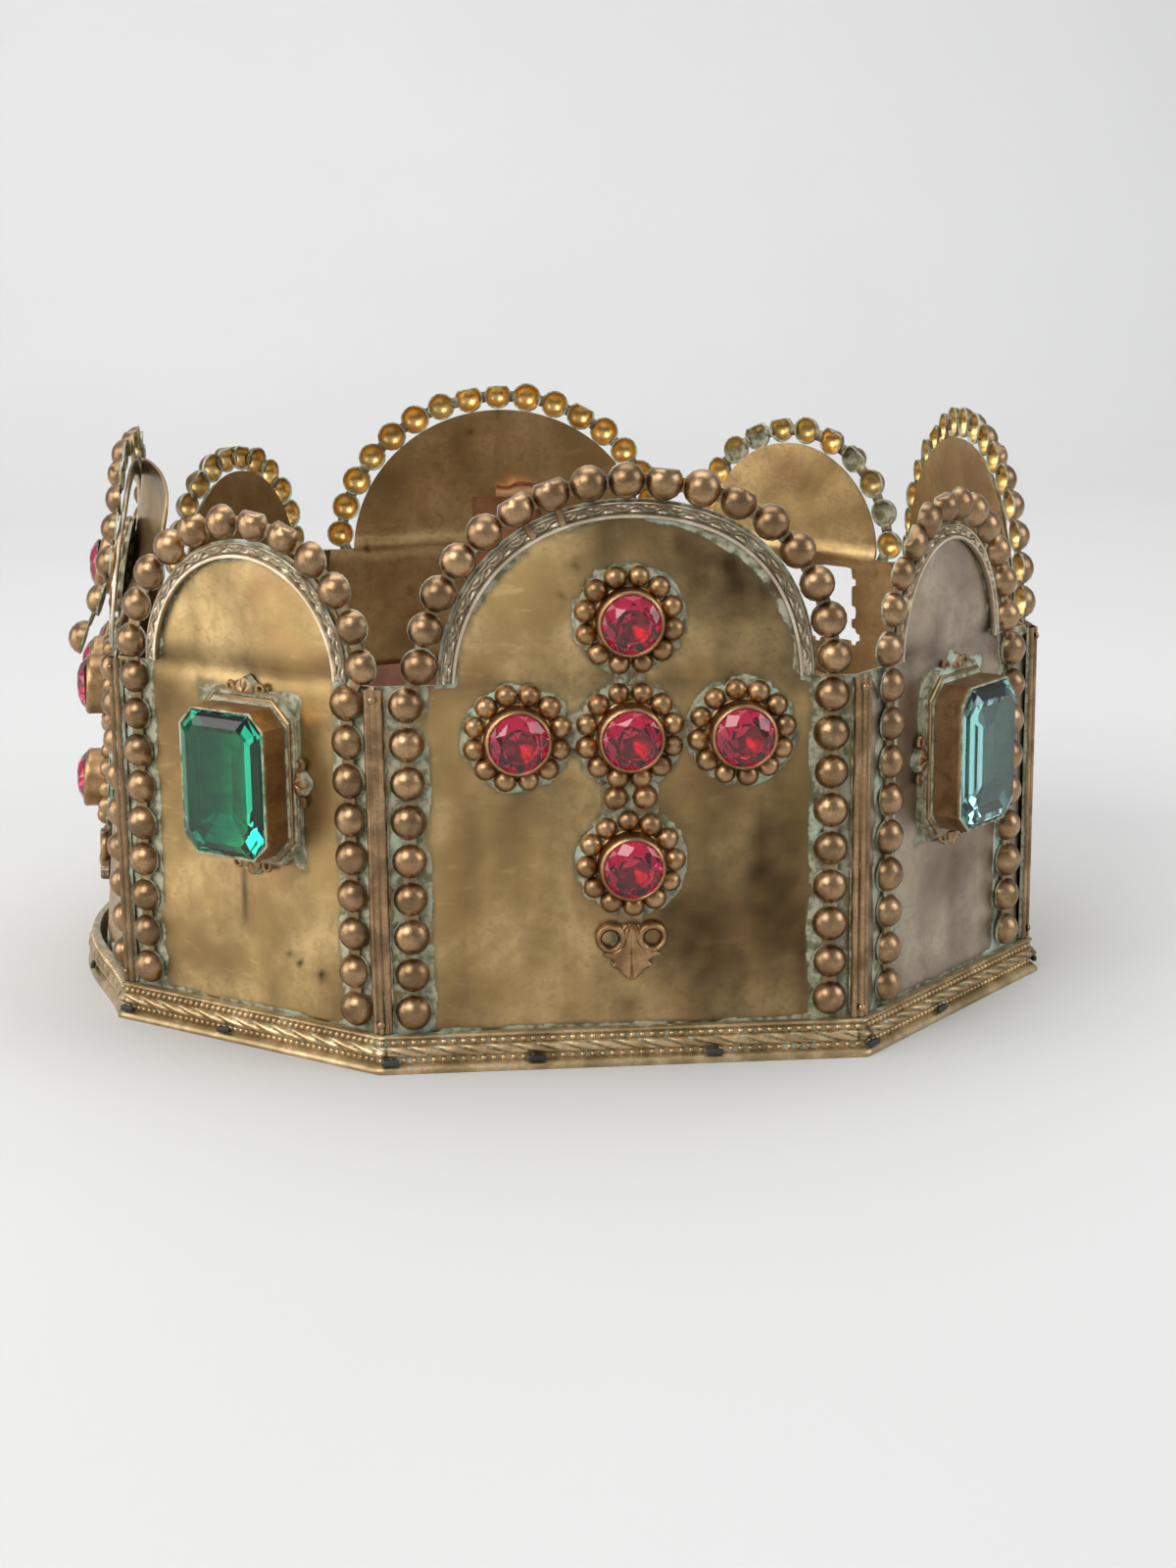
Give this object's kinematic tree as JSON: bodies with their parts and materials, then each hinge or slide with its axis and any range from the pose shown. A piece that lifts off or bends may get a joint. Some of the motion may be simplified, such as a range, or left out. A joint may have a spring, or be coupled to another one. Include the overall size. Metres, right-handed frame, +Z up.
{
  "type": "theatrical crown",
  "caption": "Octagonal sheet-brass stage crown of arched panels with bead borders, glass stones in crosses and box settings, moulded base trim and a leather head band.",
  "frame": {"origin": "centre of the crown's overall box, at the level of the underside of the base trim", "axes": "+Z up; the panel with the best cross faces -Y; +X to the right of someone who faces that panel"},
  "size_m": [0.2588, 0.2586, 0.1456],
  "materials": {
    "sheet_brass": "aged, blotchy, satin",
    "engraved_band": "engraved, pale verdigris in the cuts",
    "bead_copper_brown": "rubbed copper-brown satin",
    "trim_brass": "rubbed, verdigris in the grooves",
    "setting_copper_brown": "satin, verdigris round the seats",
    "red_glass": "faceted, polished",
    "green_glass": "step cut, polished",
    "head_band_leather": "worn"
  },
  "bodies": {
    "root": {"base_trim": "trim_brass", "head_band": "head_band_leather", "panel_front": "sheet_brass", "arch_band_front": "engraved_band", "bead_border_front": "bead_copper_brown", "ruby_cross_front": "setting_copper_brown", "ruby_front_top": "red_glass", "ruby_front_left": "red_glass", "ruby_front_centre": "red_glass", "ruby_front_right": "red_glass", "ruby_front_bottom": "red_glass", "corner_post_front_left_to_front": "bead_copper_brown", "panel_front_right": "sheet_brass", "arch_band_front_right": "engraved_band", "bead_border_front_right": "bead_copper_brown", "stone_setting_front_right": "setting_copper_brown", "stone_front_right": "green_glass", "corner_post_front_to_front_right": "bead_copper_brown", "panel_right": "sheet_brass", "arch_band_right": "engraved_band", "bead_border_right": "bead_copper_brown", "ruby_cross_right": "setting_copper_brown", "ruby_right_top": "red_glass", "ruby_right_left": "red_glass", "ruby_right_centre": "red_glass", "ruby_right_right": "red_glass", "ruby_right_bottom": "red_glass", "corner_post_front_right_to_right": "bead_copper_brown", "panel_back_right": "sheet_brass", "arch_band_back_right": "engraved_band", "bead_border_back_right": "bead_copper_brown", "corner_post_right_to_back_right": "bead_copper_brown", "panel_back": "sheet_brass", "arch_band_back": "engraved_band", "bead_border_back": "bead_copper_brown", "stone_setting_back": "setting_copper_brown", "stone_back": "green_glass", "corner_post_back_right_to_back": "bead_copper_brown", "panel_back_left": "sheet_brass", "arch_band_back_left": "engraved_band", "bead_border_back_left": "bead_copper_brown", "stone_setting_back_left": "setting_copper_brown", "stone_back_left": "green_glass", "corner_post_back_to_back_left": "bead_copper_brown", "panel_left": "sheet_brass", "arch_band_left": "engraved_band", "bead_border_left": "bead_copper_brown", "ruby_cross_left": "setting_copper_brown", "ruby_left_top": "red_glass", "ruby_left_left": "red_glass", "ruby_left_centre": "red_glass", "ruby_left_right": "red_glass", "ruby_left_bottom": "red_glass", "corner_post_back_left_to_left": "bead_copper_brown", "panel_front_left": "sheet_brass", "arch_band_front_left": "engraved_band", "bead_border_front_left": "bead_copper_brown", "stone_setting_front_left": "setting_copper_brown", "stone_front_left": "green_glass", "corner_post_left_to_front_left": "bead_copper_brown"}
  },
  "joints": []
}
